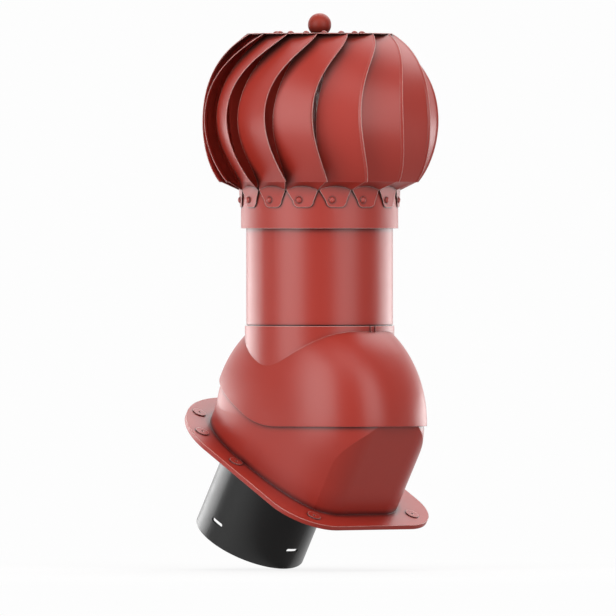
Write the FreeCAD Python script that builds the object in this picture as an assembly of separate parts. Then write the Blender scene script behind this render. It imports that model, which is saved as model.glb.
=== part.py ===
import FreeCAD, Part
import math
import os
from FreeCAD import Placement, Rotation, Vector

# Roof turbine ventilator on a pitched-roof base, in millimetres and degrees.
# A black duct spigot passes up through a moulded roof base, whose barrel-shaped bowl
# carries a hood that swivels to bring the riser pipe upright. The riser holds an axle,
# and a rotor of curved sheet blades turns on it in two ball bearings.
# The origin is where the duct axis crosses the underside of the roof flange. +Z is up,
# -Y points down the roof and X is the swivel axis of the hood.

# Roof flange, measured along and across the roof from the duct axis
roof_pitch = 30.0
flange_half_width = 111.5
flange_back_centre = 12.5
flange_back = 116.5
flange_front = 159.5
flange_corner = 54.5
flange_rise = 5.0
flange_skin = 2.5
flange_lip = 3.0

# Raised marks for the roof screws, in pairs across and up the roof, each with a dimple
mark_places = [(61.5, 84.0), (92.0, 43.5), (95.0, -20.5), (75.5, -136.5)]
mark_radius = 7.5
mark_rise = 1.2
mark_dimple_radius = 1.3
mark_dimple_depth = 2.0

# Swivel axis of the hood, down the roof from the duct axis and above the flange underside
pivot_offset = 28.5
pivot_height = 59.0

# Hood and bowl, two barrels about the swivel axis
hood_radius = 128.0
hood_half_width = 87.6
hood_wall = 2.0
hood_gap = 0.8
bowl_wall = 2.5
barrel_power = 2.5
barrel_end_radius = 14.0
barrel_steps = 12
bowl_front = 107.0
bowl_nose_flat = 33.0
bowl_nose_radius = 46.0
bowl_nose_turn = 60.0
bowl_rim_front_angle = 48.0
bowl_rim_back_angle = 26.0
bowl_back_turn = 20.0

# Lower rim of the hood, level in front and parallel to the roof behind
rim_level = -4.0
rim_turn_start = -18.0
rim_turn_radius = 100.0

# Collar of the hood and the riser pipe in it, heights above the swivel axis
collar_radius = 81.5
collar_wall = 2.5
collar_top = 105.0
riser_radius = 80.0
riser_wall = 2.5
riser_top = 248.0
riser_seat_depth = 6.0
seat_clearance = 0.2
seam_gap = 1.2

# Two small ribs that mark the down-slope side of the collar
rib_spread = 7.3
rib_width = 1.0
rib_rise = 1.0
rib_length = 7.5

# Swivel pins at the two sides of the hood
pin_radius = 2.0
pin_clearance = 0.06
pin_pocket = 1.2
pin_reach = 11.5
pin_boss_radius = 8.0
pin_boss_length = 4.0
retainer_radius = 5.5
retainer_thickness = 1.2
part_clearance = 0.3

# Duct spigot
spigot_radius = 62.5
spigot_neck_radius = 61.5
spigot_wall = 2.5
spigot_length = 107.0
spigot_collar_radius = 74.0
spigot_collar_thickness = 3.0
seal_thickness = 1.5
slot_length = 17.0
slot_width = 4.0
slot_height = 23.0
slot_count = 4
spigot_screw_circle = 69.0
spigot_screw_count = 4
screw_radius = 1.5
screw_bite = 4.0
screw_head_radius = 3.2
screw_head_height = 2.0
screw_hole_clearance = 0.1

# Rotor ring and its rivets; heights from here on are above the top of the riser pipe
ring_radius = 85.7
sheet = 0.8
ring_sheet = 1.0
ring_top = 4.0
ring_height = 41.0
blade_count = 15
ring_rivet_drop = 10.0
ring_rivet_shift = -3.5
rivet_radius = 2.0
rivet_head = 3.8
rivet_rise = 2.6
rivet_tail_radius = 2.8
rivet_tail_height = 1.2

# Blade edges as Bezier poles: radius, angle round the axle, height
blade_outer_edge = [
    (78.5, 21.0, 174.5),
    (116.1, 13.8, 149.7),
    (144.5, -17.9, 118.8),
    (134.2, -0.8, 46.9),
    (107.0, 3.4, 13.3),
]
blade_inner_edge = [
    (70.0, -9.0, 173.2),
    (106.0, -15.4, 150.5),
    (142.7, -33.7, 84.3),
    (109.6, -22.0, 48.4),
    (91.5, -24.3, 14.3),
]
blade_lip = 2.4
blade_lip_turn = 0.9

# Blade foot, a flat tab on the rotor ring, across and above the ring's top
tab_angle = -12.7
tab_half_width = 17.4
tab_rise = 0.5
tab_crown_rise = 4.5
tab_drop = 18.0
tab_flat_start = -3.5
tab_flat_end = 6.0
tab_shoulder = 6.5

# Blade head, a flat tab under the top disc
head_angle = 6.0
head_half_angle = 9.0
head_inner_radius = 39.0
head_outer_radius = 70.0
head_slant = 4.0

# Top disc, its rivets and the ball on it
disc_radius = 79.5
disc_sheet = 1.0
disc_top = 175.5
disc_rivet_circle = 47.0
ball_radius = 12.75
ball_rise = 9.5
ball_stud_radius = 4.0
ball_stud_length = 5.0
stud_clearance = 0.2

# Axle, its bracket and nuts
axle_radius = 5.0
axle_tail = 6.0
axle_tip = 2.0
axle_chamfer = 0.8
bracket_drop = 16.0
bracket_sheet = 2.5
bracket_width = 30.0
bracket_tab = 18.0
bracket_rivet_drop = 10.0
bracket_rivet_spread = 8.0
bracket_rivet_head = 3.6
bracket_rivet_rise = 1.3
nut_flats = 17.0
nut_height = 8.0
top_nut_height = 5.0

# Ball bearings
bearing_bore = 5.02
bearing_radius = 13.0
bearing_width = 8.0
bearing_inner_land = 7.4
bearing_outer_land = 10.6
bearing_pitch_radius = 9.0
bearing_ball_radius = 2.38
bearing_ball_count = 7
bearing_play = 0.07
lower_bearing_rise = 22.0
upper_bearing_drop = 21.5
housing_wall = 4.0
housing_clearance = 0.05
housing_lip = 1.0
shoulder_radius = 11.0
housing_roof = 3.0
sleeve_radius = 7.0

# Angle of the rotor about its axle at rest, from +X
rotor_rest_angle = -135.0

# Spider that carries the lower bearing in the rotor ring
spider_sheet = 2.0
spider_hub_radius = 22.0
spider_hole_radius = 12.0
spider_arm_width = 20.0
spider_arms = 3
spider_tab = 16.0

# Heights that follow from these
bracket_height = -bracket_drop
lower_bearing = bracket_height + lower_bearing_rise
upper_bearing = disc_top - upper_bearing_drop
ring_rivet_height = ring_top - ring_rivet_drop
tab_top = ring_top + tab_rise
tab_crown = tab_top + tab_crown_rise
tab_bottom = ring_top - tab_drop
ball_centre = disc_top + ball_rise


def polar(radius, angle, height=0.0):
    """A point at a radius, an angle round Z and a height."""
    turn = math.radians(angle)
    return Vector(radius * math.cos(turn), radius * math.sin(turn), height)


def turned(shape, angle, axis=Vector(0, 0, 1)):
    """A copy of a shape turned about an axis through the origin."""
    copy = shape.copy()
    copy.rotate(Vector(0, 0, 0), axis, angle)
    return copy


def moved(shape, x=0.0, y=0.0, z=0.0):
    """A copy of a shape moved along the axes."""
    copy = shape.copy()
    copy.translate(Vector(x, y, z))
    return copy


def rod(radius, low, high):
    """A solid cylinder about Z between two heights."""
    return Part.makeCylinder(radius, high - low, Vector(0, 0, low))


def tube(outer, inner, low, high):
    """A round tube about Z between two heights."""
    return rod(outer, low, high).cut(rod(inner, low - 1.0, high + 1.0))


def slab(x_low, x_high, y_low, y_high, z_low, z_high):
    """A box between two corners."""
    return Part.makeBox(x_high - x_low, y_high - y_low, z_high - z_low, Vector(x_low, y_low, z_low))


def prism(edges, direction):
    """A closed outline of edges, filled and extruded."""
    wire = Part.Wire(Part.sortEdges(edges)[0])
    return Part.Face(wire).extrude(direction)


def line(start, end):
    return Part.makeLine(start, end)


def arc(start, middle, end):
    return Part.Arc(start, middle, end).toShape()


def hexagon(flats, low, high, hole):
    """A hexagonal nut about Z with a plain hole."""
    corner = flats / math.sqrt(3.0)
    points = [polar(corner, 60.0 * k, low) for k in range(6)]
    body = Part.Face(Part.makePolygon(points + [points[0]])).extrude(Vector(0, 0, high - low))
    chamfer = Part.makeCone(corner + high - low, corner - 1.0, high - low + 1.0, Vector(0, 0, low))
    return body.common(chamfer).cut(rod(hole, low - 1.0, high + 1.0))


def rivet(head, rise, length):
    """A domed rivet along X: its head stands out from x = 0 and its shank goes back to the tail."""
    dome_radius = (head * head + rise * rise) / (2.0 * rise)
    dome = Part.makeSphere(dome_radius, Vector(rise - dome_radius, 0, 0))
    dome = dome.common(Part.makeCylinder(head, rise, Vector(0, 0, 0), Vector(1, 0, 0)))
    shank = Part.makeCylinder(rivet_radius, length, Vector(-length, 0, 0), Vector(1, 0, 0))
    tail_start = Vector(-length - rivet_tail_height, 0, 0)
    tail = Part.makeCylinder(rivet_tail_radius, rivet_tail_height, tail_start, Vector(1, 0, 0))
    return dome.fuse([shank, tail]).removeSplitter()


def side_prism(points, half_width):
    """A solid whose outline, seen along X, runs through points of (y, z)."""
    corners = [Vector(-half_width, y, z) for y, z in points]
    face = Part.Face(Part.makePolygon(corners + [corners[0]]))
    return face.extrude(Vector(2.0 * half_width, 0, 0))


def barrel_curve(half_width, radius):
    """The outline of a barrel across its axis, from the edge of one flat end to the other."""
    limit = math.acos((barrel_end_radius / radius) ** (barrel_power / 2.0))
    points = []
    for k in range(barrel_steps + 1):
        turn = limit * (2.0 * k / barrel_steps - 1.0)
        across = math.copysign(abs(math.sin(turn)) ** (2.0 / barrel_power), turn)
        out = math.cos(turn) ** (2.0 / barrel_power)
        points.append(Vector(half_width * across, radius * out, 0))
    curve = Part.BSplineCurve()
    curve.interpolate(points)
    return curve.toShape()


def barrel(half_width, radius, start, sweep):
    """A sector of a barrel about X, nearly flat at its sides and softly crowned round its girth.

    The start is an angle above +Y and the sweep goes over the top towards -Y.
    """
    curve = barrel_curve(half_width, radius)
    left, right = curve.Vertexes[0].Point, curve.Vertexes[-1].Point
    left_foot, right_foot = Vector(left.x, 0, 0), Vector(right.x, 0, 0)
    rest = [line(right, right_foot), line(right_foot, left_foot), line(left_foot, left)]
    half = Part.Face(Part.Wire([curve] + rest))
    half = turned(half, start, Vector(1, 0, 0))
    return half.revolve(Vector(0, 0, 0), Vector(1, 0, 0), sweep)


def drawn_barrel(half_width, radius, depth):
    """A barrel drawn straight down below its girth, as a mould releases it.

    Up the roof it keeps its round form for some degrees more before it is drawn down.
    """
    front = barrel_curve(half_width, radius).mirror(Vector(0, 0, 0), Vector(0, 1, 0))
    back = barrel_curve(half_width, radius * math.cos(math.radians(bowl_back_turn)))
    sides = [line(f.Point, b.Point) for f, b in zip(front.Vertexes, back.Vertexes)]
    lower = prism([front, back] + sides, Vector(0, 0, -depth))
    below = 2.0 * bowl_back_turn
    return barrel(half_width, radius, -below, 180.0 + below).fuse(lower)


def d_plate(inset, low, high):
    """The flange's outline, inset, as a plate: half an ellipse up the roof, round corners down it."""
    half_width = flange_half_width - inset
    back_centre = flange_back_centre
    front = flange_front - inset
    corner = flange_corner - inset
    diagonal = corner * (1.0 - math.cos(math.radians(45.0)))
    side_y = corner - front
    oval = Part.Ellipse(Vector(0, back_centre, low), half_width, flange_back - inset - back_centre)
    edges = [
        Part.Arc(oval, 0.0, math.pi).toShape(),
        line(Vector(-half_width, back_centre, low), Vector(-half_width, side_y, low)),
        arc(
            Vector(-half_width, side_y, low),
            Vector(diagonal - half_width, diagonal - front, low),
            Vector(corner - half_width, -front, low),
        ),
        line(Vector(corner - half_width, -front, low), Vector(half_width - corner, -front, low)),
        arc(
            Vector(half_width - corner, -front, low),
            Vector(half_width - diagonal, diagonal - front, low),
            Vector(half_width, side_y, low),
        ),
        line(Vector(half_width, side_y, low), Vector(half_width, back_centre, low)),
    ]
    return prism(edges, Vector(0, 0, high - low))


def bow_prism(inset, low, high):
    """The space behind the bowl's blunt nose, which faces down the roof."""
    nose = bowl_nose_radius - inset
    centre_y = bowl_nose_radius - bowl_front
    half_turn = math.radians(bowl_nose_turn / 2.0)
    full_turn = math.radians(bowl_nose_turn)
    reach = 2.0 * bowl_front

    def nose_point(side, turn):
        across = side * (bowl_nose_flat + nose * math.sin(turn))
        return Vector(across, centre_y - nose * math.cos(turn), low)

    def flare_point(side):
        tip = nose_point(side, full_turn)
        return tip + Vector(side * bowl_front / math.tan(full_turn), bowl_front, 0)

    left, right = nose_point(-1, 0.0), nose_point(1, 0.0)
    edges = [
        line(left, right),
        arc(right, nose_point(1, half_turn), nose_point(1, full_turn)),
        line(nose_point(1, full_turn), flare_point(1)),
        line(flare_point(1), Vector(flare_point(1).x, reach, low)),
        line(Vector(flare_point(1).x, reach, low), Vector(flare_point(-1).x, reach, low)),
        line(Vector(flare_point(-1).x, reach, low), flare_point(-1)),
        line(flare_point(-1), nose_point(-1, full_turn)),
        arc(nose_point(-1, full_turn), nose_point(-1, half_turn), left),
    ]
    return prism(edges, Vector(0, 0, high - low))


def bowl_body(inset, depth):
    """The bowl's solid form about the swivel axis, inset by a wall and reaching down by a depth."""
    radius = hood_radius - hood_wall - hood_gap - inset
    half_width = hood_half_width - hood_wall - hood_gap - inset
    form = drawn_barrel(half_width, radius, depth)
    return form.common(bow_prism(inset, -depth, radius))


def bowl_mouth():
    """The space above the bowl's slanting upper rim."""
    radius = hood_radius - hood_wall - hood_gap
    front = math.radians(bowl_rim_front_angle)
    back = math.radians(bowl_rim_back_angle)
    front_y, front_z = -radius * math.cos(front), radius * math.sin(front)
    back_y, back_z = radius * math.cos(back), radius * math.sin(back)
    slope = (back_z - front_z) / (back_y - front_y)
    reach = 2.0 * radius
    points = [
        (-reach, front_z - slope * (reach + front_y)),
        (reach, back_z + slope * (reach - back_y)),
        (reach, reach),
        (-reach, reach),
    ]
    return side_prism(points, reach)


def cross_rod(radius, inner, outer):
    """Two rods along X, one at each side, between two distances from the middle."""
    right = Part.makeCylinder(radius, outer - inner, Vector(inner, 0, 0), Vector(1, 0, 0))
    return Part.makeCompound([right, turned(right, 180.0)])


def pin_span():
    """How far from the middle the bowl's side wall ends outside and its boss inside."""
    outside = hood_half_width - hood_wall - hood_gap
    return outside, outside - bowl_wall - pin_boss_length


def at_marks(shape):
    """Copies of a shape at the marks for the roof screws, as one compound."""
    return Part.makeCompound([moved(shape, x=side * x, y=y) for x, y in mark_places for side in (-1, 1)])


def make_roof_base():
    flange = d_plate(0.0, 0.0, flange_rise)
    recess = d_plate(flange_lip, -1.0, flange_rise - flange_skin)
    mark_top = flange_rise + mark_rise
    marks = at_marks(rod(mark_radius, flange_rise - flange_skin / 2.0, mark_top))
    dimples = at_marks(rod(mark_dimple_radius, mark_top - mark_dimple_depth, mark_top + 1.0))
    outside, boss_end = pin_span()
    bosses = cross_rod(pin_boss_radius, boss_end, outside - bowl_wall / 2.0)
    shell = bowl_body(0.0, pivot_height - flange_skin)
    shell = shell.cut(bowl_body(bowl_wall, pivot_height - flange_rise))
    shell = shell.fuse(bosses)
    shell = shell.cut(bowl_mouth())
    shell = shell.cut(cross_rod(pin_radius + pin_clearance, boss_end - 1.0, outside + 1.0))
    shell = moved(shell, y=-pivot_offset, z=pivot_height)
    body = flange.cut(recess).fuse(marks).cut(dimples).fuse(shell)
    body = body.cut(rod(spigot_neck_radius + part_clearance, -1.0, flange_rise + 1.0))
    body = body.cut(spigot_screw_holes())
    return body.removeSplitter()


def spigot_screw_holes():
    top = flange_rise + seal_thickness + spigot_collar_thickness
    hole = rod(screw_radius + screw_hole_clearance, -1.0, top + 1.0)
    return around(moved(hole, x=spigot_screw_circle), spigot_screw_count, 45.0)


def around(shape, count, start=0.0):
    """Copies of a shape at even angles about Z, as one compound."""
    return Part.makeCompound([turned(shape, start + 360.0 * k / count) for k in range(count)])


def make_duct_spigot():
    seat = flange_rise + seal_thickness
    bore = spigot_radius - spigot_wall
    body = tube(spigot_radius, bore, -spigot_length, 0.0).fuse(tube(spigot_neck_radius, bore, 0.0, seat))
    body = body.fuse(tube(spigot_collar_radius, bore, seat, seat + spigot_collar_thickness))
    half_straight = (slot_length - slot_width) / 2.0
    depth = 3.0 * spigot_wall
    slot = slab(0.0, depth, -half_straight, half_straight, -slot_width / 2.0, slot_width / 2.0)
    for side in (-1, 1):
        middle = Vector(0, side * half_straight, 0)
        slot = slot.fuse(Part.makeCylinder(slot_width / 2.0, depth, middle, Vector(1, 0, 0)))
    slot = moved(slot, x=spigot_radius - 2.0 * spigot_wall, z=slot_height - spigot_length)
    body = body.cut(around(slot, slot_count)).cut(spigot_screw_holes())
    return body.removeSplitter()


def make_spigot_seal():
    bore = spigot_neck_radius + part_clearance
    seal = tube(spigot_collar_radius, bore, flange_rise, flange_rise + seal_thickness)
    return seal.cut(spigot_screw_holes())


def make_spigot_screws():
    seat = flange_rise + seal_thickness + spigot_collar_thickness
    screw = rod(screw_radius, flange_rise - screw_bite, seat)
    head = rod(screw_head_radius, seat, seat + screw_head_height)
    head = head.makeFillet(screw_head_height / 2.0, [head.Edges[0]])
    screw = screw.fuse(head)
    return around(moved(screw, x=spigot_screw_circle), spigot_screw_count, 45.0)


def hood_underside():
    """The space below the hood's lower rim."""
    reach = 2.0 * hood_radius
    pitch = math.radians(roof_pitch)
    turn_centre = rim_level + rim_turn_radius

    def turn_point(angle):
        y = rim_turn_start + rim_turn_radius * math.sin(angle)
        return Vector(-reach, y, turn_centre - rim_turn_radius * math.cos(angle))

    start, end = turn_point(0.0), turn_point(pitch)
    back = Vector(-reach, reach, end.z + (reach - end.y) * math.tan(pitch))
    edges = [
        line(Vector(-reach, -reach, rim_level), start),
        arc(start, turn_point(pitch / 2.0), end),
        line(end, back),
        line(back, Vector(-reach, reach, -reach)),
        line(Vector(-reach, reach, -reach), Vector(-reach, -reach, -reach)),
        line(Vector(-reach, -reach, -reach), Vector(-reach, -reach, rim_level)),
    ]
    return prism(edges, Vector(2.0 * reach, 0, 0))


def collar_ribs():
    half = rib_width / 2.0
    low = collar_top - rib_length
    rib = slab(-half, half, -collar_radius - rib_rise, -collar_radius + collar_wall / 2.0, low, collar_top)
    return [moved(rib, x=side * rib_spread / 2.0) for side in (-1, 1)]


def make_hood_shell():
    outer = barrel(hood_half_width, hood_radius, -90.0, 360.0)
    outer = outer.fuse(rod(collar_radius, 0.0, collar_top)).fuse(collar_ribs())
    inner = barrel(hood_half_width - hood_wall, hood_radius - hood_wall, -90.0, 360.0)
    inner = inner.fuse(rod(collar_radius - collar_wall, 0.0, hood_radius + 1.0))
    shell = outer.cut(inner).cut(hood_underside())
    pocket_floor = hood_half_width - hood_wall + pin_pocket
    return shell.cut(cross_rod(pin_radius, 0.0, pocket_floor))


def make_pivot_pins():
    pocket_floor = hood_half_width - hood_wall + pin_pocket
    return cross_rod(pin_radius, pocket_floor - pin_reach, pocket_floor)


def make_pivot_retainers():
    boss_end = pin_span()[1]
    outer = boss_end - part_clearance
    plate = cross_rod(retainer_radius, outer - retainer_thickness, outer)
    return plate.cut(cross_rod(pin_radius, 0.0, boss_end))


def make_riser_pipe():
    inner = riser_radius - riser_wall
    shoulder = collar_top + seam_gap
    body = tube(riser_radius, inner, shoulder, riser_top)
    seat_radius = collar_radius - collar_wall - seat_clearance
    body = body.fuse(tube(seat_radius, inner, collar_top - riser_seat_depth, shoulder))
    return body.cut(moved(bracket_rivet_holes(), z=riser_top)).removeSplitter()


def at_bracket_rivets(shape):
    """Copies of a shape on +X at the four rivets that hold the axle bracket."""
    spread = math.degrees(math.asin(bracket_rivet_spread / riser_radius))
    lifted = moved(shape, z=bracket_height - bracket_rivet_drop)
    angles = (spread, -spread, 180.0 + spread, 180.0 - spread)
    return Part.makeCompound([turned(lifted, angle) for angle in angles])


def bracket_rivet_holes():
    inner = riser_radius - riser_wall - 2.0 * bracket_sheet
    length = riser_radius + 1.0 - inner
    hole = Part.makeCylinder(rivet_radius, length, Vector(inner, 0, 0), Vector(1, 0, 0))
    return at_bracket_rivets(hole)


def make_bracket_rivets():
    inside = riser_radius - riser_wall - bracket_sheet
    grip = riser_radius - math.sqrt(inside ** 2 - rivet_tail_radius ** 2)
    return at_bracket_rivets(moved(rivet(bracket_rivet_head, bracket_rivet_rise, grip), x=riser_radius))


def strap(reach, thickness, width, plane, tab, hole):
    """A bar across a round bore at a height, with its two ends turned down along the wall."""
    half = width / 2.0
    bar = slab(-reach, reach, -half, half, plane, plane + thickness)
    bar = bar.common(rod(reach, plane, plane + thickness))
    legs = tube(reach, reach - thickness, plane - tab, plane)
    legs = legs.common(slab(-reach, reach, -half, half, plane - tab, plane))
    return bar.fuse(legs).cut(rod(hole, plane - 1.0, plane + thickness + 1.0))


def make_axle_bracket():
    reach = riser_radius - riser_wall
    hole = axle_radius + stud_clearance
    bar = strap(reach, bracket_sheet, bracket_width, bracket_height, bracket_tab, hole)
    return bar.cut(bracket_rivet_holes()).removeSplitter()


def make_axle():
    bottom = bracket_height - nut_height - axle_tail
    top = upper_bearing + bearing_width + top_nut_height + axle_tip
    shaft = rod(axle_radius, bottom, top)
    rims = [edge for edge in shaft.Edges if isinstance(edge.Curve, Part.Circle)]
    return shaft.makeChamfer(axle_chamfer, rims)


def make_axle_nuts():
    above = bracket_height + bracket_sheet
    full = [bracket_height - nut_height, above, lower_bearing - nut_height]
    nuts = [hexagon(nut_flats, low, low + nut_height, bearing_bore) for low in full]
    top = upper_bearing + bearing_width
    nuts.append(hexagon(nut_flats, top, top + top_nut_height, bearing_bore))
    return Part.makeCompound(nuts)


def make_bearing_sleeve():
    return tube(sleeve_radius, bearing_bore, lower_bearing + bearing_width, upper_bearing)


def race_groove():
    middle = Vector(0, 0, bearing_width / 2.0)
    return Part.makeTorus(bearing_pitch_radius, bearing_ball_radius + bearing_play, middle)


def make_inner_race(height):
    return moved(tube(bearing_inner_land, bearing_bore, 0.0, bearing_width).cut(race_groove()), z=height)


def make_outer_race(height):
    return moved(tube(bearing_radius, bearing_outer_land, 0.0, bearing_width).cut(race_groove()), z=height)


def make_bearing_balls(height):
    middle = height + bearing_width / 2.0
    ball = Part.makeSphere(bearing_ball_radius, Vector(bearing_pitch_radius, 0, middle))
    return around(ball, bearing_ball_count)


def make_lower_housing():
    bore = bearing_radius + housing_clearance
    return tube(bore + housing_wall, bore, lower_bearing, lower_bearing + bearing_width + housing_lip)


def make_upper_housing():
    bore = bearing_radius + housing_clearance
    shoulder = upper_bearing + bearing_width
    roof = disc_top - disc_sheet
    body = rod(bore + housing_wall, upper_bearing - housing_lip, roof)
    body = body.cut(rod(bore, upper_bearing - 2.0, shoulder))
    body = body.cut(rod(shoulder_radius, shoulder - 1.0, roof - housing_roof))
    return body.cut(rod(ball_stud_radius, roof - housing_roof - 1.0, roof + 1.0)).removeSplitter()


def make_spider():
    plane = lower_bearing - spider_sheet
    reach = ring_radius - ring_sheet
    half = spider_arm_width / 2.0
    pieces = []
    for k in range(spider_arms):
        arm = slab(0.0, reach, -half, half, plane, plane + spider_sheet)
        arm = arm.common(rod(reach, plane, plane + spider_sheet))
        leg = tube(reach, reach - spider_sheet, plane - spider_tab, plane)
        leg = leg.common(slab(0.0, reach, -half, half, plane - spider_tab, plane))
        arm = moved(arm.fuse(leg), y=ring_rivet_shift)
        arm = arm.common(rod(reach, plane - spider_tab, plane + spider_sheet))
        pieces.append(turned(arm, tab_angle + 360.0 * k / spider_arms))
    body = rod(spider_hub_radius, plane, plane + spider_sheet).fuse(pieces)
    body = body.cut(rod(spider_hole_radius, plane - 1.0, plane + spider_sheet + 1.0))
    return body.cut(ring_rivet_holes()).removeSplitter()


def ring_rivet_holes():
    """Holes square to each blade's foot, beside its middle, through the ring and the spider's arms."""
    inner = ring_radius - ring_sheet - 2.0 * spider_sheet
    length = ring_radius + sheet + rivet_rise - inner
    start = Vector(inner, ring_rivet_shift, ring_rivet_height)
    return around(Part.makeCylinder(rivet_radius, length, start, Vector(1, 0, 0)), blade_count, tab_angle)


def make_rotor_ring():
    ring = tube(ring_radius, ring_radius - ring_sheet, ring_top - ring_height, ring_top)
    return ring.cut(ring_rivet_holes()).removeSplitter()


def make_ring_rivets():
    """One rivet through each blade's foot and the ring; three also hold the spider's arms."""
    seat = ring_radius + sheet
    tail_edge = abs(ring_rivet_shift) + rivet_tail_radius
    rivets = []
    for k in range(blade_count):
        on_arm = k % (blade_count // spider_arms) == 0
        inside = ring_radius - ring_sheet - (spider_sheet if on_arm else 0.0)
        one = rivet(rivet_head, rivet_rise, seat - math.sqrt(inside ** 2 - tail_edge ** 2))
        one = moved(one, x=seat, y=ring_rivet_shift, z=ring_rivet_height)
        rivets.append(turned(one, tab_angle + 360.0 * k / blade_count))
    return Part.makeCompound(rivets)


def bezier(points):
    curve = Part.BezierCurve()
    curve.setPoles(points)
    return curve.toShape()


def unit_normal(along, across):
    """The direction square to two others that points towards the axle or down."""
    normal = along.cross(across)
    return normal / normal.Length


def bezier_tangent(points, place):
    """The direction of a Bezier curve at a share of its length."""
    curve = Part.BezierCurve()
    curve.setPoles(points)
    return curve.tangent(place)[0]


def blade_curves():
    """The blade's lip, outer fold and inner edge on its outer skin, and the same on its inner skin."""
    fold = [polar(*pole) for pole in blade_outer_edge]
    edge = [polar(*pole) for pole in blade_inner_edge]
    lip = [polar(r + blade_lip, a + blade_lip_turn, z) for r, a, z in blade_outer_edge]
    back_lip, back_fold, back_edge = [], [], []
    for k in range(len(fold)):
        place = k / (len(fold) - 1.0)
        across = edge[k] - fold[k]
        strip_normal = unit_normal(bezier_tangent(fold, place), across)
        lip_normal = unit_normal(bezier_tangent(fold, place), fold[k] - lip[k])
        mitre = (strip_normal + lip_normal) / (1.0 + strip_normal.dot(lip_normal))
        back_lip.append(lip[k] + lip_normal * sheet)
        back_fold.append(fold[k] + mitre * sheet)
        back_edge.append(edge[k] + unit_normal(bezier_tangent(edge, place), across) * sheet)
    return (lip, fold, edge), (back_lip, back_fold, back_edge)


def ruled(first, second):
    return Part.makeRuledSurface(first, second).Faces[0]


def quad(a, b, c, d):
    """A face between four corners, which need not lie in one plane."""
    return ruled(line(a, b), line(d, c))


def tab_outline(back):
    """The outline of the foot below its fold, from the side by the lip round to the other side."""
    x = ring_radius if back else ring_radius + sheet
    slant = math.radians(45.0)
    bend = tab_shoulder * (1.0 - math.cos(slant))

    def point(y, z):
        return Vector(x, y, z)

    left, right = tab_flat_start - tab_shoulder, tab_flat_end + tab_shoulder
    corners = [
        point(tab_half_width, tab_top),
        point(right, tab_bottom + tab_shoulder),
        point(tab_flat_end, tab_bottom),
        point(tab_flat_start, tab_bottom),
        point(left, tab_bottom + tab_shoulder),
        point(-tab_half_width, tab_top),
    ]
    crown = arc(corners[0], point(0, tab_crown), corners[-1])
    rest = [
        line(corners[0], corners[1]),
        arc(corners[1], point(right - bend, tab_bottom + bend), corners[2]),
        line(corners[2], corners[3]),
        arc(corners[3], point(left + bend, tab_bottom + bend), corners[4]),
        line(corners[4], corners[5]),
    ]
    return turned(crown, tab_angle), [turned(edge, tab_angle) for edge in rest]


def head_corners(back):
    """The corners of the head, from the one by the lip round to the other."""
    z = disc_top - disc_sheet - (sheet if back else 0.0)
    low, high = head_angle - head_half_angle, head_angle + head_half_angle
    return [
        polar(head_outer_radius, high, z),
        polar(head_inner_radius, high, z),
        polar(head_inner_radius, low, z),
        polar(head_outer_radius - head_slant, low, z),
    ]


def make_blade():
    """The reference blade, one sheet: a head, a twisted strip with a turned lip, and a foot.

    The outer and the inner skin are built alike and joined along their edges.
    """
    skins, crowns, foots, heads = [], [], [], []
    faces = []
    for back, (lip, fold, edge) in enumerate(blade_curves()):
        crown, rest = tab_outline(back)
        corners = head_corners(back)
        faces += [
            ruled(bezier(lip), bezier(fold)),
            ruled(bezier(fold), bezier(edge)),
            ruled(line(fold[-1], edge[-1]), crown),
            Part.Face(Part.Wire(Part.sortEdges([crown] + rest)[0])),
            quad(fold[0], edge[0], corners[3], corners[0]),
            Part.Face(Part.makePolygon(corners + [corners[0]])),
        ]
        skins.append((lip, fold, edge))
        crowns.append([crown.valueAt(crown.FirstParameter), crown.valueAt(crown.LastParameter)])
        foots.append(rest)
        heads.append(corners)
    front, rear = skins
    for end in (0, -1):
        faces.append(quad(front[0][end], front[1][end], rear[1][end], rear[0][end]))
    faces.append(ruled(bezier(front[0]), bezier(rear[0])))
    faces.append(ruled(bezier(front[2]), bezier(rear[2])))
    faces.append(quad(front[1][-1], crowns[0][0], crowns[1][0], rear[1][-1]))
    faces.append(quad(front[2][-1], crowns[0][1], crowns[1][1], rear[2][-1]))
    faces += [ruled(a, b) for a, b in zip(*foots)]
    faces.append(quad(front[1][0], heads[0][0], heads[1][0], rear[1][0]))
    faces.append(quad(front[2][0], heads[0][3], heads[1][3], rear[2][0]))
    faces += [quad(heads[0][k], heads[0][k + 1], heads[1][k + 1], heads[1][k]) for k in range(3)]
    shell = Part.makeShell(faces)
    shell.sewShape()
    body = Part.makeSolid(shell)
    if body.Volume < 0:
        body.reverse()
    return body.cut([disc_rivet_holes(), ring_rivet_holes()])


def disc_rivet_holes():
    """Holes through the top disc and the blades' heads under it."""
    hole = rod(rivet_radius, disc_top - disc_sheet - 2.0 * sheet, disc_top + 1.0)
    return around(moved(hole, x=disc_rivet_circle), blade_count, head_angle)


def make_top_disc():
    disc = tube(disc_radius, ball_stud_radius + stud_clearance, disc_top - disc_sheet, disc_top)
    return disc.cut(disc_rivet_holes()).removeSplitter()


def make_disc_rivets():
    one = turned(rivet(rivet_head, rivet_rise, disc_sheet + sheet), -90.0, Vector(0, 1, 0))
    return around(moved(one, x=disc_rivet_circle, z=disc_top), blade_count, head_angle)


def make_ball_finial():
    ball = Part.makeSphere(ball_radius, Vector(0, 0, ball_centre))
    ball = ball.cut(rod(2.0 * ball_radius, ball_centre - 2.0 * ball_radius, disc_top))
    return ball.fuse(rod(ball_stud_radius, disc_top - ball_stud_length, disc_top)).removeSplitter()


base_place = Placement(Vector(0, 0, 0), Rotation(Vector(1, 0, 0), roof_pitch))
pivot = base_place.multVec(Vector(0, -pivot_offset, pivot_height))
top_place = pivot + Vector(0, 0, riser_top)
hood_place = Placement(pivot, Rotation())
axle_place = Placement(top_place, Rotation())
rotor_place = Placement(top_place, Rotation(Vector(0, 0, 1), rotor_rest_angle))

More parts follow.
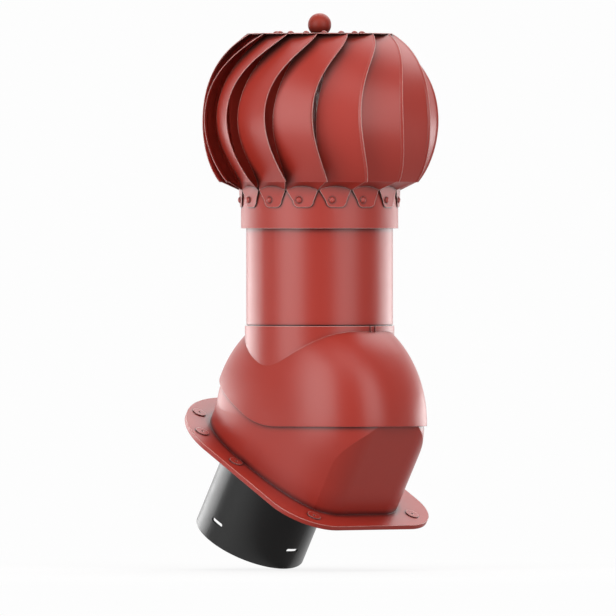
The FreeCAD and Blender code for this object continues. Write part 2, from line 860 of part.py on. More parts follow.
base_parts = {
    "roof_base": make_roof_base(),
    "duct_spigot": make_duct_spigot(),
    "spigot_seal": make_spigot_seal(),
    "spigot_screws": make_spigot_screws(),
}
hood_parts = {
    "hood_shell": make_hood_shell(),
    "pivot_pins": make_pivot_pins(),
    "pivot_retainers": make_pivot_retainers(),
    "riser_pipe": make_riser_pipe(),
}
axle_parts = {
    "axle_bracket": make_axle_bracket(),
    "bracket_rivets": make_bracket_rivets(),
    "axle": make_axle(),
    "axle_nuts": make_axle_nuts(),
    "bearing_sleeve": make_bearing_sleeve(),
    "lower_bearing_inner_race": make_inner_race(lower_bearing),
    "upper_bearing_inner_race": make_inner_race(upper_bearing),
}
rotor_parts = {
    "rotor_ring": make_rotor_ring(),
    "ring_rivets": make_ring_rivets(),
    "spider": make_spider(),
    "lower_bearing_housing": make_lower_housing(),
    "upper_bearing_housing": make_upper_housing(),
    "lower_bearing_outer_race": make_outer_race(lower_bearing),
    "upper_bearing_outer_race": make_outer_race(upper_bearing),
    "lower_bearing_balls": make_bearing_balls(lower_bearing),
    "upper_bearing_balls": make_bearing_balls(upper_bearing),
    "top_disc": make_top_disc(),
    "disc_rivets": make_disc_rivets(),
    "ball_finial": make_ball_finial(),
}
blade = make_blade()
for number in range(blade_count):
    rotor_parts[f"blade_{number + 1:02d}"] = turned(blade, 360.0 * number / blade_count)

os.makedirs("parts", exist_ok=True)
groups = (
    (base_place, base_parts),
    (hood_place, hood_parts),
    (axle_place, axle_parts),
    (rotor_place, rotor_parts),
)
for place, group in groups:
    for node, shape in group.items():
        placed = shape.copy()
        placed.Placement = place.multiply(placed.Placement)
        placed.exportStep(f"parts/{node}.step")
        print(node, len(placed.Solids), "solids", round(placed.Volume), "mm3")
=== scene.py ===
import math

import bpy
from bpy.props import FloatProperty, FloatVectorProperty, PointerProperty
from bpy.types import Operator, Panel, PropertyGroup
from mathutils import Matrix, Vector


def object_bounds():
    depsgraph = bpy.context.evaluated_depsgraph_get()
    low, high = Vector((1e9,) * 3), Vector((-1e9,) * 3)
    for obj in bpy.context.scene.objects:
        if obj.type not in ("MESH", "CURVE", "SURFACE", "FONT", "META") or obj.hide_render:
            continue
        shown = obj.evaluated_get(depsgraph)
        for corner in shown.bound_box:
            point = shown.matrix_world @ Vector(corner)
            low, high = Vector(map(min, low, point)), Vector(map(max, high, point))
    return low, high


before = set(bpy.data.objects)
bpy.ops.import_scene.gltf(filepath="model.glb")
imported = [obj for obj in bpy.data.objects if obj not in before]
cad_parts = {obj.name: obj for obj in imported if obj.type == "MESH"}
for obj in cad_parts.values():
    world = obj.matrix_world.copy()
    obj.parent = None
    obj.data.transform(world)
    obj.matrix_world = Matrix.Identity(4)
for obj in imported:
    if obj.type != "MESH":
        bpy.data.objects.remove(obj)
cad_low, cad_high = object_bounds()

bl_info = {
    "name": "Roof Turbine Ventilator",
    "version": (1, 0, 0),
    "blender": (4, 5, 0),
    "location": "View3D > Sidebar > Ventilator",
    "description": "Finishes and studio for a wind-driven roof ventilator with a swivel hood",
    "category": "Object",
}

PANEL_TAB = "Ventilator"

# Lengths are in metres, and turns round the ventilator in degrees.
VIEW_AZIMUTH = -45.0
CAMERA_AIM = (-0.0089, -0.0452, 0.1611)
CAMERA_CLIP = (0.1, 100.0)

BLACK = (0.0, 0.0, 0.0, 1.0)
WHITE = (1.0, 1.0, 1.0, 1.0)
BACKDROP = (0.983, 0.983, 0.983, 1.0)

# The floor turns from partly to wholly backdrop between a near and a far distance.
FLOOR_SIZE = 60.0
FLOOR_GAP = 0.001
FLOOR_GREY = (0.28, 0.28, 0.28, 1.0)
FLOOR_ROUGHNESS = 0.9
FLOOR_SPAN = (0.25, 0.9)
FLOOR_SHARE = 0.85

# What reflections see of the floor: a dim level all round, and for each bright side its
# direction, the cosines between which it brightens, and its level.
MIRRORED_LEVEL = 0.24
MIRRORED_SIDES = (
    ((-0.7, 0.714, 0.0), (0.35, 0.85), 1.0),
    ((0.77, 0.64, 0.0), (0.3, 0.9), 1.3),
)

# What reflections see of the room: dim in front, and white behind the ventilator.
ROOM_BEHIND = (0.7071, 0.7071, 0.0)
ROOM_COSINES = (0.0, 0.75)
ROOM_LEVELS = (0.16, 1.35)

# Each lamp: name, turn from the camera's side, distance from the aim and height over it,
# width and height of its face, and its share of the strip light's power.
LAMP_AIM = Vector((0.0, -0.045, 0.20))
LAMPS = (
    ("left strip", -45.0, 1.9, 0.1, (1.35, 3.2), 1.17),
    ("right strip", 41.0, 1.9, 0.1, (1.15, 3.2), 0.75),
    ("back left strip", -128.0, 1.9, -0.11, (1.6, 0.42), 0.25),
    ("back right strip", 128.0, 1.9, -0.11, (1.6, 0.42), 0.25),
    ("front overhead", 8.0, 1.25, 1.65, (1.5, 1.0), 0.17),
    ("back overhead", 161.0, 1.15, 1.75, (2.4, 1.8), 0.68),
)

EDGE_REACH = 0.0012
EDGE_SAMPLES = 4
CREVICE_SAMPLES = 6
# Edges whose normal rises more than this get the whole painted highlight, as light from above
# would give.
UPPER_SLOPE = 0.05
# The gloss drifts over patches this many times finer than the colour's.
FINE_TONE = 7.0
# Drifts of a skin's colour go down to this share of it.
DARK_TONE = 0.72
BALL_TINT = (0.85, 1.3, 1.3)
RUBBER_BLACK = (0.014, 0.014, 0.014)
SPANGLE_SCALE = 260.0
SPANGLE_TONES = (1.0, 0.78)
GROUND_STRETCH = (60.0, 60.0, 6000.0)
GROUND_TONES = (1.05, 0.7)

FINISH_NAMES = (
    "Red moulded plastic",
    "Red painted sheet",
    "Red ball enamel",
    "Black moulded plastic",
    "Seal rubber",
    "Zinc plated steel",
    "Ground steel",
)

BLADES = sorted(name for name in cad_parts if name.startswith("blade_"))
SHELL_NODES = ("roof_base", "hood_shell", "riser_pipe")
SHEET_NODES = ("rotor_ring", "ring_rivets", "top_disc", "disc_rivets", *BLADES)
BALL_NODES = ("ball_finial",)
SPIGOT_NODES = ("duct_spigot",)
SEAL_NODES = ("spigot_seal",)
PLATED_NODES = (
    "axle_bracket",
    "axle_nuts",
    "bracket_rivets",
    "lower_bearing_housing",
    "pivot_pins",
    "pivot_retainers",
    "spider",
    "spigot_screws",
    "upper_bearing_housing",
)
GROUND_NODES = (
    "axle",
    "bearing_sleeve",
    "lower_bearing_balls",
    "lower_bearing_inner_race",
    "lower_bearing_outer_race",
    "upper_bearing_balls",
    "upper_bearing_inner_race",
    "upper_bearing_outer_race",
)


class FinishSettings(PropertyGroup):
    red: FloatVectorProperty(
        name="Red",
        description="Colour moulded into the plastic and sprayed on the rotor",
        default=(0.415, 0.030, 0.017),
        min=0.0,
        max=1.0,
        subtype="COLOR",
    )
    red_roughness: FloatProperty(
        name="Red roughness",
        description="How far the moulded red plastic spreads its reflections",
        default=0.36,
        min=0.0,
        max=1.0,
        subtype="FACTOR",
    )
    paint_roughness: FloatProperty(
        name="Paint roughness",
        description="How far the paint on the rotor spreads its reflections",
        default=0.42,
        min=0.0,
        max=1.0,
        subtype="FACTOR",
    )
    black: FloatVectorProperty(
        name="Black",
        description="Colour of the duct spigot",
        default=(0.010, 0.010, 0.010),
        min=0.0,
        max=1.0,
        subtype="COLOR",
    )
    plated: FloatVectorProperty(
        name="Zinc",
        description="Colour of the zinc-plated steel",
        default=(0.56, 0.56, 0.55),
        min=0.0,
        max=1.0,
        subtype="COLOR",
    )
    grain: FloatProperty(
        name="Grain",
        description="Size of the fine grain on moulded plastic",
        default=0.0016,
        min=0.0002,
        max=0.02,
        unit="LENGTH",
    )


class StageSettings(PropertyGroup):
    camera_distance: FloatProperty(
        name="Camera distance",
        description="How far the camera stands from the ventilator",
        default=20.0,
        min=1.0,
        max=40.0,
        unit="LENGTH",
    )
    camera_rise: FloatProperty(
        name="Camera rise",
        description="How far the camera looks down from level",
        default=math.radians(0.3),
        min=math.radians(-10.0),
        max=math.radians(60.0),
        unit="ROTATION",
    )
    frame_width: FloatProperty(
        name="Frame width",
        description="Width of the picture at the ventilator",
        default=0.6714,
        min=0.1,
        max=3.0,
        unit="LENGTH",
    )
    strip_power: FloatProperty(
        name="Strip light power",
        description="Power that each lamp gives its own share of",
        default=36.5,
        min=0.0,
        max=500.0,
        unit="POWER",
    )
    sky: FloatProperty(
        name="Room light",
        description="Strength of the soft light from all round",
        default=0.33,
        min=0.0,
        max=2.0,
        subtype="FACTOR",
    )


def feed(tree, socket, value):
    """Link a socket to another one, or set it to a plain value."""
    if isinstance(value, bpy.types.NodeSocket):
        tree.links.new(value, socket)
    else:
        socket.default_value = value


def math_node(tree, operation, first, second, clamp=False):
    node = tree.nodes.new("ShaderNodeMath")
    node.operation = operation
    node.use_clamp = clamp
    feed(tree, node.inputs[0], first)
    feed(tree, node.inputs[1], second)
    return node.outputs["Value"]


def dot_node(tree, first, second):
    node = tree.nodes.new("ShaderNodeVectorMath")
    node.operation = "DOT_PRODUCT"
    feed(tree, node.inputs[0], first)
    feed(tree, node.inputs[1], second)
    return node.outputs["Value"]


def ramp_node(tree, value, span, levels):
    """A smooth step from one level to another, while value passes its span."""
    node = tree.nodes.new("ShaderNodeMapRange")
    node.interpolation_type = "SMOOTHSTEP"
    feed(tree, node.inputs["Value"], value)
    node.inputs["From Min"].default_value, node.inputs["From Max"].default_value = span
    node.inputs["To Min"].default_value, node.inputs["To Max"].default_value = levels
    return node.outputs["Result"]


def mix_colours(tree, factor, first, second):
    """A colour between two others, each a socket or a value."""
    node = tree.nodes.new("ShaderNodeMix")
    node.data_type = "RGBA"
    feed(tree, node.inputs[0], factor)
    feed(tree, node.inputs[6], first)
    feed(tree, node.inputs[7], second)
    return node.outputs[2]


def place_node(tree):
    """The piece's own coordinates."""
    return tree.nodes.new("ShaderNodeTexCoord").outputs["Object"]


def noise_node(tree, place, scale, detail):
    node = tree.nodes.new("ShaderNodeTexNoise")
    feed(tree, node.inputs["Vector"], place)
    feed(tree, node.inputs["Scale"], scale)
    feed(tree, node.inputs["Detail"], detail)
    return node.outputs["Fac"]


def bump_node(tree, height, strength, distance, rounded=None):
    """Normals of a relief, laid over rounded edges where there are some."""
    node = tree.nodes.new("ShaderNodeBump")
    feed(tree, node.inputs["Height"], height)
    feed(tree, node.inputs["Strength"], strength)
    feed(tree, node.inputs["Distance"], distance)
    if rounded:
        feed(tree, node.inputs["Normal"], rounded)
    return node.outputs["Normal"]


def tinted(colour, *shares):
    """A colour with each channel, or all of them, brought to a share of itself."""
    if len(shares) == 1:
        shares *= 3
    return (*(share * channel for share, channel in zip(shares, colour)), 1.0)


def new_group(name, inputs, outputs):
    """An empty shader node group with named inputs and outputs."""
    group = bpy.data.node_groups.new(name, "ShaderNodeTree")
    for label, kind, value in inputs:
        socket = group.interface.new_socket(label, in_out="INPUT", socket_type=kind)
        socket.default_value = value
    for label, kind in outputs:
        group.interface.new_socket(label, in_out="OUTPUT", socket_type=kind)
    return group, group.nodes.new("NodeGroupInput"), group.nodes.new("NodeGroupOutput")


def build_tone_group(name):
    """Slow drifts of colour and gloss, as a moulding or a coat of paint shows up close."""
    group, start, end = new_group(
        name,
        [
            ("Colour", "NodeSocketColor", WHITE),
            ("Dark Colour", "NodeSocketColor", BLACK),
            ("Colour Share", "NodeSocketFloat", 0.2),
            ("Roughness", "NodeSocketFloat", 0.3),
            ("Roughness Spread", "NodeSocketFloat", 0.05),
            ("Scale", "NodeSocketFloat", 12.0),
        ],
        [("Colour", "NodeSocketColor"), ("Roughness", "NodeSocketFloat")],
    )
    place = place_node(group)
    slow = noise_node(group, place, start.outputs["Scale"], 2.0)
    share = math_node(group, "MULTIPLY", slow, start.outputs["Colour Share"], clamp=True)
    tone = mix_colours(group, share, start.outputs["Colour"], start.outputs["Dark Colour"])
    feed(group, end.inputs["Colour"], tone)
    fine_scale = math_node(group, "MULTIPLY", start.outputs["Scale"], FINE_TONE)
    fine = math_node(group, "SUBTRACT", noise_node(group, place, fine_scale, 3.0), 0.5)
    spread = math_node(group, "MULTIPLY", fine, start.outputs["Roughness Spread"])
    rough = math_node(group, "ADD", spread, start.outputs["Roughness"], clamp=True)
    feed(group, end.inputs["Roughness"], rough)
    return group


def build_skin_group(name):
    """Height of a moulded or sprayed skin: fine grain on slow waves."""
    group, start, end = new_group(
        name,
        [
            ("Grain Scale", "NodeSocketFloat", 900.0),
            ("Grain Depth", "NodeSocketFloat", 0.4),
            ("Wave Scale", "NodeSocketFloat", 18.0),
            ("Wave Depth", "NodeSocketFloat", 0.6),
        ],
        [("Height", "NodeSocketFloat")],
    )
    place = place_node(group)
    grain = noise_node(group, place, start.outputs["Grain Scale"], 1.0)
    waves = noise_node(group, place, start.outputs["Wave Scale"], 1.0)
    fine = math_node(group, "MULTIPLY", grain, start.outputs["Grain Depth"])
    broad = math_node(group, "MULTIPLY", waves, start.outputs["Wave Depth"])
    feed(group, end.inputs["Height"], math_node(group, "ADD", fine, broad))
    return group


def build_edge_group(name):
    """A mask along outer edges for a painted highlight, and normals that round these edges."""
    group, start, end = new_group(
        name,
        [("Gain", "NodeSocketFloat", 3.0), ("Lower Share", "NodeSocketFloat", 1.0)],
        [("Mask", "NodeSocketFloat"), ("Normal", "NodeSocketVector")],
    )
    bevel = group.nodes.new("ShaderNodeBevel")
    bevel.samples = EDGE_SAMPLES
    bevel.inputs["Radius"].default_value = EDGE_REACH
    rounded = bevel.outputs["Normal"]
    feed(group, end.inputs["Normal"], rounded)
    surface = group.nodes.new("ShaderNodeNewGeometry")
    agree = dot_node(group, rounded, surface.outputs["Normal"])
    apart = math_node(group, "SUBTRACT", 1.0, agree, clamp=True)
    parts = group.nodes.new("ShaderNodeSeparateXYZ")
    feed(group, parts.inputs[0], rounded)
    # Upward edges get the whole painted highlight, as light from above would give; the others
    # get their Lower Share of it.
    upper = math_node(group, "GREATER_THAN", parts.outputs["Z"], UPPER_SLOPE)
    share = math_node(group, "MAXIMUM", upper, start.outputs["Lower Share"])
    gain = math_node(group, "MULTIPLY", share, start.outputs["Gain"])
    feed(group, end.inputs["Mask"], math_node(group, "MULTIPLY", apart, gain, clamp=True))
    return group


def build_crevice_group(name):
    """A mask in joints and under rims, for painted shade where little light reaches."""
    group, start, end = new_group(
        name,
        [("Reach", "NodeSocketFloat", 0.006), ("Gain", "NodeSocketFloat", 1.0)],
        [("Mask", "NodeSocketFloat")],
    )
    # Painted shade: the less open the surface is around a point, the darker its colour is
    # painted.
    nearby = group.nodes.new("ShaderNodeAmbientOcclusion")
    nearby.samples = CREVICE_SAMPLES
    feed(group, nearby.inputs["Distance"], start.outputs["Reach"])
    closed = math_node(group, "SUBTRACT", 1.0, nearby.outputs["AO"], clamp=True)
    mask = math_node(group, "MULTIPLY", closed, start.outputs["Gain"], clamp=True)
    feed(group, end.inputs["Mask"], mask)
    return group


GROUP_BUILDERS = {
    "Tone Drift": build_tone_group,
    "Skin Relief": build_skin_group,
    "Edge Catch": build_edge_group,
    "Crevice Shade": build_crevice_group,
}


def group_node(tree, name, values):
    """A shared node group in a material; the group is built when it is first asked for."""
    node = tree.nodes.new("ShaderNodeGroup")
    node.node_tree = bpy.data.node_groups.get(name) or GROUP_BUILDERS[name](name)
    for label, value in values.items():
        node.inputs[label].default_value = value
    return node


def new_material(name):
    material = bpy.data.materials.new(name)
    material.use_nodes = True
    tree = material.node_tree
    return material, tree, tree.nodes["Principled BSDF"]


def skin_material(
    name, colour, roughness, ior, tone, painted_shades, edge, painted_highlight_colour, relief, bump
):
    """A coloured skin, moulded or sprayed, with painted shade in its joints and a painted
    highlight on its exposed edges.

    tone, edge and relief are values of the shared groups. Each painted shade has its reach, its
    gain and the share of the colour that is left in it. bump is the strength and height of
    relief.
    """
    material, tree, shader = new_material(name)
    shader.inputs["IOR"].default_value = ior
    drift = group_node(
        tree,
        "Tone Drift",
        {
            "Colour": tinted(colour, 1.0),
            "Dark Colour": tinted(colour, DARK_TONE),
            "Roughness": roughness,
            **tone,
        },
    )
    tint = drift.outputs["Colour"]
    # Painted shade: in joints, corners and under rims the colour darkens towards the given share
    # of itself.
    for reach, gain, left in painted_shades:
        crevice = group_node(tree, "Crevice Shade", {"Reach": reach, "Gain": gain})
        tint = mix_colours(tree, crevice.outputs["Mask"], tint, tinted(colour, *left))
    edges = group_node(tree, "Edge Catch", edge)
    # Painted highlight: exposed edges outside the painted shade are lightened towards the
    # highlight colour.
    bare = math_node(
        tree, "SUBTRACT", edges.outputs["Mask"], crevice.outputs["Mask"], clamp=True
    )
    tint = mix_colours(tree, bare, tint, (*painted_highlight_colour, 1.0))
    feed(tree, shader.inputs["Base Color"], tint)
    feed(tree, shader.inputs["Roughness"], drift.outputs["Roughness"])
    skin = group_node(tree, "Skin Relief", relief)
    normal = bump_node(tree, skin.outputs["Height"], *bump, edges.outputs["Normal"])
    feed(tree, shader.inputs["Normal"], normal)
    return material


def red_plastic(finish):
    """Oxide red moulded plastic with a satin shine."""
    return skin_material(
        "Red moulded plastic",
        colour=finish.red,
        roughness=finish.red_roughness,
        ior=1.57,
        tone={"Colour Share": 0.25, "Roughness Spread": 0.05, "Scale": 9.0},
        # Painted shade in joints, at the bowl's foot and under rims, and a painted highlight
        # mostly on upward edges.
        painted_shades=((0.03, 1.0, (0.42, 0.3, 0.3)), (0.007, 2.4, (0.16, 0.06, 0.06))),
        edge={"Gain": 5.0, "Lower Share": 0.1},
        painted_highlight_colour=(0.92, 0.62, 0.57),
        relief={
            "Grain Scale": 1.0 / finish.grain,
            "Grain Depth": 0.25,
            "Wave Scale": 14.0,
            "Wave Depth": 1.0,
        },
        bump=(0.25, 0.0006),
    )


def red_paint(finish):
    """Oxide red paint sprayed on sheet steel, with a painted highlight on its edges."""
    return skin_material(
        "Red painted sheet",
        colour=finish.red,
        roughness=finish.paint_roughness,
        ior=1.60,
        tone={"Colour Share": 0.2, "Roughness Spread": 0.06, "Scale": 16.0},
        # Painted shade in the gaps between blades and under the ring, and a painted highlight on
        # the edges.
        painted_shades=((0.014, 2.0, (0.2, 0.6, 0.8)), (0.003, 3.0, (0.12, 0.3, 0.4))),
        edge={"Gain": 5.0, "Lower Share": 1.0},
        painted_highlight_colour=(0.95, 0.74, 0.70),
        relief={
            "Grain Scale": 0.6 / finish.grain,
            "Grain Depth": 0.5,
            "Wave Scale": 30.0,
            "Wave Depth": 0.5,
        },
        bump=(0.2, 0.0004),
    )


def ball_enamel(finish):
    """A darker coat of the same red on the ball."""
    return skin_material(
        "Red ball enamel",
        colour=tinted(finish.red, *BALL_TINT)[:3],
        roughness=finish.paint_roughness,
        ior=1.36,
        tone={"Colour Share": 0.3, "Roughness Spread": 0.06, "Scale": 30.0},
        # Painted shade where the ball sits over the disc, and a painted highlight on its edges.
        painted_shades=((0.03, 1.4, (0.3, 0.3, 0.3)),),
        edge={"Gain": 1.0, "Lower Share": 1.0},
        painted_highlight_colour=(0.50, 0.12, 0.10),
        relief={
            "Grain Scale": 0.8 / finish.grain,
            "Grain Depth": 0.4,
            "Wave Scale": 40.0,
            "Wave Depth": 0.5,
        },
        bump=(0.2, 0.0003),
    )


def black_plastic(finish):
    """Black moulded plastic of the duct spigot."""
    return skin_material(
        "Black moulded plastic",
        colour=finish.black,
        roughness=0.32,
        ior=1.48,
        tone={"Colour Share": 0.3, "Roughness Spread": 0.08, "Scale": 12.0},
        # Painted shade in joints, and a faint painted highlight on edges.
        painted_shades=((0.008, 2.0, (0.3, 0.3, 0.3)),),
        edge={"Gain": 0.9, "Lower Share": 1.0},
        painted_highlight_colour=(0.05, 0.05, 0.05),
        relief={
            "Grain Scale": 1.0 / finish.grain,
            "Grain Depth": 0.5,
            "Wave Scale": 20.0,
            "Wave Depth": 0.8,
        },
        bump=(0.25, 0.0005),
    )


def seal_rubber(finish):
    """Matt black rubber of the seal under the spigot's collar."""
    return skin_material(
        "Seal rubber",
        colour=RUBBER_BLACK,
        roughness=0.75,
        ior=1.5,
        tone={"Colour Share": 0.4, "Roughness Spread": 0.1, "Scale": 20.0},
        # Painted shade in joints, and a faint painted highlight on edges.
        painted_shades=((0.004, 2.0, (0.3, 0.3, 0.3)),),
        edge={"Gain": 0.6, "Lower Share": 1.0},
        painted_highlight_colour=(0.03, 0.03, 0.03),
        relief={
            "Grain Scale": 2.0 / finish.grain,
            "Grain Depth": 1.0,
            "Wave Scale": 40.0,
            "Wave Depth": 0.3,
        },
        bump=(0.5, 0.0004),
    )


def plated_steel(finish):
    """Zinc-plated steel with a faint spangle."""
    material, tree, shader = new_material("Zinc plated steel")
    shader.inputs["Metallic"].default_value = 1.0
    spangle = tree.nodes.new("ShaderNodeTexVoronoi")
    feed(tree, spangle.inputs["Vector"], place_node(tree))
    feed(tree, spangle.inputs["Scale"], SPANGLE_SCALE)
    grey = tree.nodes.new("ShaderNodeRGBToBW")
    feed(tree, grey.inputs["Color"], spangle.outputs["Color"])
    bright, dull = (tinted(finish.plated, tone) for tone in SPANGLE_TONES)
    feed(tree, shader.inputs["Base Color"], mix_colours(tree, grey.outputs["Val"], bright, dull))
    drift = group_node(
        tree, "Tone Drift", {"Roughness": 0.36, "Roughness Spread": 0.2, "Scale": 40.0}
    )
    feed(tree, shader.inputs["Roughness"], drift.outputs["Roughness"])
    skin = group_node(
        tree, "Skin Relief", {"Grain Scale": 1500.0, "Grain Depth": 0.5, "Wave Scale": 60.0}
    )
    feed(tree, shader.inputs["Normal"], bump_node(tree, skin.outputs["Height"], 0.2, 0.0002))
    return material


def ground_steel(finish):
    """Turned and ground steel, with fine rings round the axle."""
    material, tree, shader = new_material("Ground steel")
    shader.inputs["Metallic"].default_value = 1.0
    stretch = tree.nodes.new("ShaderNodeMapping")
    stretch.inputs["Scale"].default_value = GROUND_STRETCH
    feed(tree, stretch.inputs["Vector"], place_node(tree))
    rings = noise_node(tree, stretch.outputs["Vector"], 1.0, 2.0)
    bright, dull = (tinted(finish.plated, tone) for tone in GROUND_TONES)
    feed(tree, shader.inputs["Base Color"], mix_colours(tree, rings, bright, dull))
    drift = group_node(
        tree, "Tone Drift", {"Roughness": 0.24, "Roughness Spread": 0.12, "Scale": 60.0}
    )
    feed(tree, shader.inputs["Roughness"], drift.outputs["Roughness"])
    feed(tree, shader.inputs["Normal"], bump_node(tree, rings, 0.15, 0.0001))
    return material


def give_finish(material, names):
    """Put one finish on parts that are alike."""
    for name in names:
        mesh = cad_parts[name].data
        mesh.materials.clear()
        mesh.materials.append(material)


class VENTILATOR_OT_shells(Operator):
    """Finish the roof base, the hood and the riser pipe in moulded red plastic"""

    bl_idname = "ventilator.shells"
    bl_label = "Finish base, hood and riser"

    def execute(self, context):
        give_finish(red_plastic(context.scene.ventilator_finish), SHELL_NODES)
        return {"FINISHED"}


class VENTILATOR_OT_rotor_sheet(Operator):
    """Paint the ring, the blades, the top disc and their rivets"""

    bl_idname = "ventilator.rotor_sheet"
    bl_label = "Paint the rotor"

    def execute(self, context):
        give_finish(red_paint(context.scene.ventilator_finish), SHEET_NODES)
        return {"FINISHED"}


class VENTILATOR_OT_ball(Operator):
    """Enamel the ball on top"""

    bl_idname = "ventilator.ball"
    bl_label = "Enamel the ball"

    def execute(self, context):
        give_finish(ball_enamel(context.scene.ventilator_finish), BALL_NODES)
        return {"FINISHED"}


class VENTILATOR_OT_spigot(Operator):
    """Finish the duct spigot in black plastic and its seal in rubber"""

    bl_idname = "ventilator.spigot"
    bl_label = "Finish spigot and seal"

    def execute(self, context):
        finish = context.scene.ventilator_finish
        give_finish(black_plastic(finish), SPIGOT_NODES)
        give_finish(seal_rubber(finish), SEAL_NODES)
        return {"FINISHED"}


class VENTILATOR_OT_fittings(Operator):
    """Plate the bracket, the spider, the housings, the pins and the screws"""

    bl_idname = "ventilator.fittings"
    bl_label = "Plate the fittings"

    def execute(self, context):
        give_finish(plated_steel(context.scene.ventilator_finish), PLATED_NODES)
        return {"FINISHED"}


class VENTILATOR_OT_bearings(Operator):
    """Grind the axle, its sleeve and the two ball bearings"""

    bl_idname = "ventilator.bearings"
    bl_label = "Grind axle and bearings"

    def execute(self, context):
        give_finish(ground_steel(context.scene.ventilator_finish), GROUND_NODES)
        return {"FINISHED"}


def floor_material(name):
    """A matt floor that the camera and reflections see as nearly white.

    Far from the ventilator it turns wholly into the colour of the backdrop.
    """
    material, tree, shader = new_material(name)
    shader.inputs["Roughness"].default_value = FLOOR_ROUGHNESS
    shader.inputs["Specular IOR Level"].default_value = 0.0
    path = tree.nodes.new("ShaderNodeLightPath").outputs
    lit = mix_colours(tree, path["Is Camera Ray"], FLOOR_GREY, WHITE)
    feed(tree, shader.inputs["Base Color"], lit)
    glow = tree.nodes.new("ShaderNodeEmission")
    glow.inputs["Color"].default_value = BACKDROP

    place = place_node(tree)
    far = tree.nodes.new("ShaderNodeVectorMath")
    far.operation = "LENGTH"
    feed(tree, far.inputs[0], place)
    distance = far.outputs["Value"]
    fade = ramp_node(tree, distance, FLOOR_SPAN, (FLOOR_SHARE, 1.0))
    bright = MIRRORED_LEVEL
    for direction, cosines, level in MIRRORED_SIDES:
        cosine = math_node(tree, "DIVIDE", dot_node(tree, place, direction), distance)
        side = ramp_node(tree, cosine, cosines, (MIRRORED_LEVEL, level))
        bright = math_node(tree, "MAXIMUM", bright, side)
    mirrored = math_node(tree, "MULTIPLY", path["Is Glossy Ray"], bright)
    direct = math_node(tree, "MAXIMUM", path["Is Camera Ray"], path["Is Transmission Ray"])
    seen = math_node(tree, "MAXIMUM", direct, mirrored)

    blend = tree.nodes.new("ShaderNodeMixShader")
    feed(tree, blend.inputs["Fac"], math_node(tree, "MULTIPLY", seen, fade))
    feed(tree, blend.inputs[1], shader.outputs["BSDF"])
    feed(tree, blend.inputs[2], glow.outputs["Emission"])
    feed(tree, tree.nodes["Material Output"].inputs["Surface"], blend.outputs["Shader"])
    return material


def lay_floor():
    bpy.ops.object.select_all(action="DESELECT")
    height = cad_low.z - FLOOR_GAP
    bpy.ops.mesh.primitive_plane_add(size=FLOOR_SIZE, location=(0.0, 0.0, height))
    floor = bpy.context.active_object
    floor.name = "floor"
    floor.data.materials.append(floor_material("Pale floor"))


def build_room(scene, sky):
    """A white room for the camera, and a softer one for the light that it gives."""
    world = bpy.data.worlds.new("Studio")
    scene.world = world
    world.use_nodes = True
    tree = world.node_tree
    room = tree.nodes["Background"]
    room.inputs["Color"].default_value = BACKDROP
    path = tree.nodes.new("ShaderNodeLightPath").outputs
    seen = math_node(tree, "MAXIMUM", path["Is Camera Ray"], path["Is Transmission Ray"])
    direction = tree.nodes.new("ShaderNodeTexCoord").outputs["Generated"]
    behind = dot_node(tree, direction, ROOM_BEHIND)
    mirrored = ramp_node(tree, behind, ROOM_COSINES, ROOM_LEVELS)
    shiny = math_node(tree, "MULTIPLY", path["Is Glossy Ray"], mirrored)
    dull = math_node(tree, "SUBTRACT", 1.0, path["Is Glossy Ray"])
    soft = math_node(tree, "ADD", math_node(tree, "MULTIPLY", dull, sky), shiny)
    strength = math_node(tree, "MAXIMUM", seen, soft)
    feed(tree, room.inputs["Strength"], strength)


def hang_lamp(scene, name, azimuth, distance, height, size, power):
    """A soft light that faces the ventilator from an angle round it."""
    data = bpy.data.lights.new(name, "AREA")
    data.shape = "RECTANGLE"
    data.size, data.size_y = size
    data.energy = power
    lamp = bpy.data.objects.new(name, data)
    scene.collection.objects.link(lamp)
    turn = math.radians(azimuth)
    out = Vector((math.sin(turn) * distance, -math.cos(turn) * distance, height))
    lamp.location = LAMP_AIM + out
    lamp.rotation_euler = (-out).to_track_quat("-Z", "Y").to_euler()
    lamp.visible_camera = False


def place_camera(scene, stage):
    data = bpy.data.cameras.new("Camera")
    camera = bpy.data.objects.new("Camera", data)
    scene.collection.objects.link(camera)
    turn, rise = math.radians(VIEW_AZIMUTH), stage.camera_rise
    level = math.cos(rise)
    back = Vector((math.sin(turn) * level, -math.cos(turn) * level, math.sin(rise)))
    data.lens = data.sensor_width * stage.camera_distance / stage.frame_width
    data.clip_start, data.clip_end = CAMERA_CLIP
    camera.location = Vector(CAMERA_AIM) + back * stage.camera_distance
    camera.rotation_euler = back.to_track_quat("Z", "Y").to_euler()
    scene.camera = camera


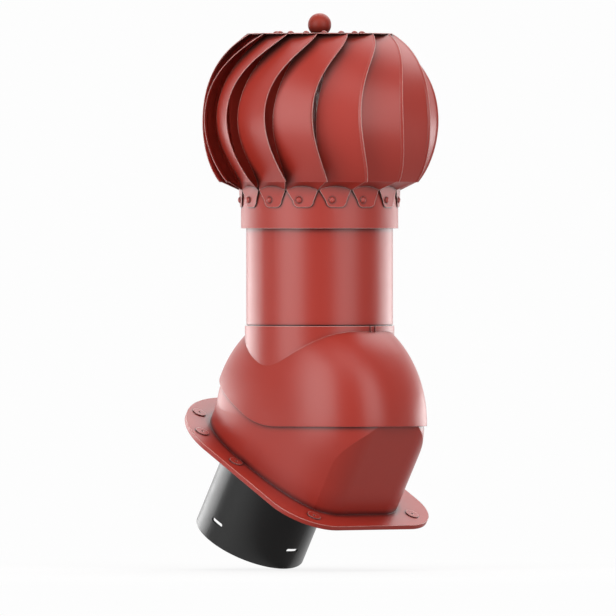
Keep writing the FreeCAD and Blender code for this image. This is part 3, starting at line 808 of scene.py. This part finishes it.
class VENTILATOR_OT_stage(Operator):
    """Set up the floor, the backdrop, the lights and the camera"""

    bl_idname = "ventilator.stage"
    bl_label = "Build stage"

    def execute(self, context):
        scene = context.scene
        stage = scene.ventilator_stage
        lay_floor()
        build_room(scene, stage.sky)
        for name, turn, distance, height, size, share in LAMPS:
            power = stage.strip_power * share
            hang_lamp(scene, name, VIEW_AZIMUTH + turn, distance, height, size, power)
        place_camera(scene, stage)
        scene.view_settings.view_transform = "Standard"
        return {"FINISHED"}


class VENTILATOR_PT_panel(Panel):
    """Settings and steps of the ventilator"""

    bl_idname = "VENTILATOR_PT_panel"
    bl_label = "Roof turbine ventilator"
    bl_space_type = "VIEW_3D"
    bl_region_type = "UI"
    bl_category = PANEL_TAB

    def draw(self, context):
        for settings in (context.scene.ventilator_finish, context.scene.ventilator_stage):
            box = self.layout.box()
            for name in settings.__annotations__:
                box.prop(settings, name)
        for step in STEPS:
            self.layout.operator(step.bl_idname)


STEPS = (
    VENTILATOR_OT_shells,
    VENTILATOR_OT_rotor_sheet,
    VENTILATOR_OT_ball,
    VENTILATOR_OT_spigot,
    VENTILATOR_OT_fittings,
    VENTILATOR_OT_bearings,
    VENTILATOR_OT_stage,
)
CLASSES = (FinishSettings, StageSettings, *STEPS, VENTILATOR_PT_panel)


def register():
    for item in CLASSES:
        bpy.utils.register_class(item)
    bpy.types.Scene.ventilator_finish = PointerProperty(type=FinishSettings)
    bpy.types.Scene.ventilator_stage = PointerProperty(type=StageSettings)


def unregister():
    del bpy.types.Scene.ventilator_stage
    del bpy.types.Scene.ventilator_finish
    for item in reversed(CLASSES):
        bpy.utils.unregister_class(item)


def check_finishes():
    """Stop if a part was left without a finish of its own."""
    bare = [
        name
        for name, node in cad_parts.items()
        if node.data.materials[0].name not in FINISH_NAMES
    ]
    if bare:
        raise RuntimeError(f"these parts have no finish: {bare}")


def main():
    register()
    bpy.ops.ventilator.shells()
    bpy.ops.ventilator.rotor_sheet()
    bpy.ops.ventilator.ball()
    bpy.ops.ventilator.spigot()
    bpy.ops.ventilator.fittings()
    bpy.ops.ventilator.bearings()
    bpy.ops.ventilator.stage()
    check_finishes()


if __name__ == "__main__":
    main()
